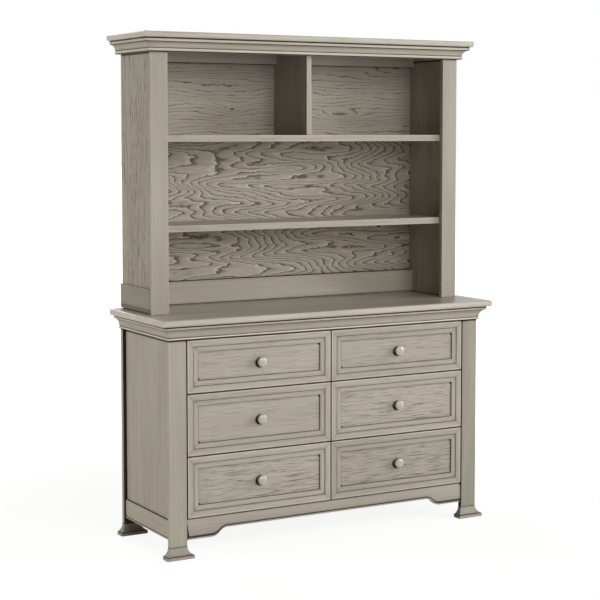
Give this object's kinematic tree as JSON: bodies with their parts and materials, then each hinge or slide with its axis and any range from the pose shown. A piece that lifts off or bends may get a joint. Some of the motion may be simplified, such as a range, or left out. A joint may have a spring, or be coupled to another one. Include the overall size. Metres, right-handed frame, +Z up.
{
  "type": "dresser with hutch",
  "caption": "Wide case of framed drawers on telescopic slides, with an open shelf hutch and stepped crown on top.",
  "frame": {"origin": "on the floor, under the centre of the whole piece's bounding box", "axes": "+X to the right of a person who faces the drawers, +Y from the drawer fronts to the back, +Z up"},
  "size_m": [1.428, 0.476, 1.882],
  "materials": {
    "post_wood": "grey-beige stain under a matt lacquer, upright grain, dark glaze in the joints",
    "rail_wood": "grey-beige stain under a matt lacquer, grain along the rail",
    "moulding_wood": "grey-beige stain under a matt lacquer, dark glaze in the hollows",
    "side_panel_wood": "grey-beige stain under a matt lacquer, upright grain",
    "top_wood": "grey-beige stain under a matt lacquer, grain from side to side",
    "shelf_wood": "grey-beige stain under a matt lacquer",
    "drawer_front_wood": "grey-beige stain under a matt lacquer, grain from side to side, dark glaze in the quirks",
    "knob_wood": "grey-beige stain under a matt lacquer",
    "hutch_back_wood": "grey-beige stain, strong grain from side to side",
    "drawer_box_wood": "clear lacquer",
    "inner_wood": "unfinished",
    "back_board": "plain board, unfinished",
    "slide_steel": "bright zinc plate",
    "pin_steel": "bright plate",
    "plate_steel": "bright zinc plate"
  },
  "bodies": {
    "case": {"back_posts": "post_wood", "base_panel": "inner_wood", "case_slides": "slide_steel", "centre_partition": "inner_wood", "cross_rails": "rail_wood", "crown_moulding": "moulding_wood", "dresser_back": "back_board", "dresser_top": "top_wood", "feet": "post_wood", "front_apron": "rail_wood", "hutch_back": "hutch_back_wood", "hutch_cross_rails": "rail_wood", "hutch_side_left": "side_panel_wood", "hutch_side_rails": "rail_wood", "hutch_side_right": "side_panel_wood", "hutch_stile_left": "post_wood", "hutch_stile_right": "post_wood", "hutch_top": "top_wood", "joining_plates": "plate_steel", "lower_shelf": "shelf_wood", "post_front_left": "post_wood", "post_front_right": "post_wood", "runner_rails": "inner_wood", "shelf_divider": "shelf_wood", "shelf_pins": "pin_steel", "side_panel_left": "side_panel_wood", "side_panel_right": "side_panel_wood", "side_rails": "rail_wood", "top_moulding": "moulding_wood", "upper_shelf": "shelf_wood"},
    "drawer_lower_right": {"drawer_front_lower_right": "drawer_front_wood", "drawer_box_lower_right": "drawer_box_wood", "drawer_knob_lower_right": "knob_wood", "drawer_slides_lower_right": "slide_steel"},
    "slide_lower_right": {"middle_slides_lower_right": "slide_steel"},
    "drawer_lower_left": {"drawer_front_lower_left": "drawer_front_wood", "drawer_box_lower_left": "drawer_box_wood", "drawer_knob_lower_left": "knob_wood", "drawer_slides_lower_left": "slide_steel"},
    "slide_lower_left": {"middle_slides_lower_left": "slide_steel"},
    "drawer_middle_right": {"drawer_front_middle_right": "drawer_front_wood", "drawer_box_middle_right": "drawer_box_wood", "drawer_knob_middle_right": "knob_wood", "drawer_slides_middle_right": "slide_steel"},
    "slide_middle_right": {"middle_slides_middle_right": "slide_steel"},
    "drawer_middle_left": {"drawer_front_middle_left": "drawer_front_wood", "drawer_box_middle_left": "drawer_box_wood", "drawer_knob_middle_left": "knob_wood", "drawer_slides_middle_left": "slide_steel"},
    "slide_middle_left": {"middle_slides_middle_left": "slide_steel"},
    "drawer_upper_right": {"drawer_front_upper_right": "drawer_front_wood", "drawer_box_upper_right": "drawer_box_wood", "drawer_knob_upper_right": "knob_wood", "drawer_slides_upper_right": "slide_steel"},
    "slide_upper_right": {"middle_slides_upper_right": "slide_steel"},
    "drawer_upper_left": {"drawer_front_upper_left": "drawer_front_wood", "drawer_box_upper_left": "drawer_box_wood", "drawer_knob_upper_left": "knob_wood", "drawer_slides_upper_left": "slide_steel"},
    "slide_upper_left": {"middle_slides_upper_left": "slide_steel"}
  },
  "joints": [
    {"name": "drawer_lower_right_slide", "type": "slide", "parent": "case", "child": "drawer_lower_right", "axis": [0, -1, 0], "range_m": [0, 0.3]},
    {"name": "middle_lower_right_slide", "type": "slide", "parent": "case", "child": "slide_lower_right", "axis": [0, -1, 0], "range_m": [0, 0.15]},
    {"name": "drawer_lower_left_slide", "type": "slide", "parent": "case", "child": "drawer_lower_left", "axis": [0, -1, 0], "range_m": [0, 0.3]},
    {"name": "middle_lower_left_slide", "type": "slide", "parent": "case", "child": "slide_lower_left", "axis": [0, -1, 0], "range_m": [0, 0.15]},
    {"name": "drawer_middle_right_slide", "type": "slide", "parent": "case", "child": "drawer_middle_right", "axis": [0, -1, 0], "range_m": [0, 0.3]},
    {"name": "middle_middle_right_slide", "type": "slide", "parent": "case", "child": "slide_middle_right", "axis": [0, -1, 0], "range_m": [0, 0.15]},
    {"name": "drawer_middle_left_slide", "type": "slide", "parent": "case", "child": "drawer_middle_left", "axis": [0, -1, 0], "range_m": [0, 0.3]},
    {"name": "middle_middle_left_slide", "type": "slide", "parent": "case", "child": "slide_middle_left", "axis": [0, -1, 0], "range_m": [0, 0.15]},
    {"name": "drawer_upper_right_slide", "type": "slide", "parent": "case", "child": "drawer_upper_right", "axis": [0, -1, 0], "range_m": [0, 0.3]},
    {"name": "middle_upper_right_slide", "type": "slide", "parent": "case", "child": "slide_upper_right", "axis": [0, -1, 0], "range_m": [0, 0.15]},
    {"name": "drawer_upper_left_slide", "type": "slide", "parent": "case", "child": "drawer_upper_left", "axis": [0, -1, 0], "range_m": [0, 0.3]},
    {"name": "middle_upper_left_slide", "type": "slide", "parent": "case", "child": "slide_upper_left", "axis": [0, -1, 0], "range_m": [0, 0.15]}
  ],
  "couplings": [
    {"joint": "middle_lower_right_slide", "follows": "drawer_lower_right_slide", "ratio": 0.5},
    {"joint": "middle_lower_left_slide", "follows": "drawer_lower_left_slide", "ratio": 0.5},
    {"joint": "middle_middle_right_slide", "follows": "drawer_middle_right_slide", "ratio": 0.5},
    {"joint": "middle_middle_left_slide", "follows": "drawer_middle_left_slide", "ratio": 0.5},
    {"joint": "middle_upper_right_slide", "follows": "drawer_upper_right_slide", "ratio": 0.5},
    {"joint": "middle_upper_left_slide", "follows": "drawer_upper_left_slide", "ratio": 0.5}
  ]
}
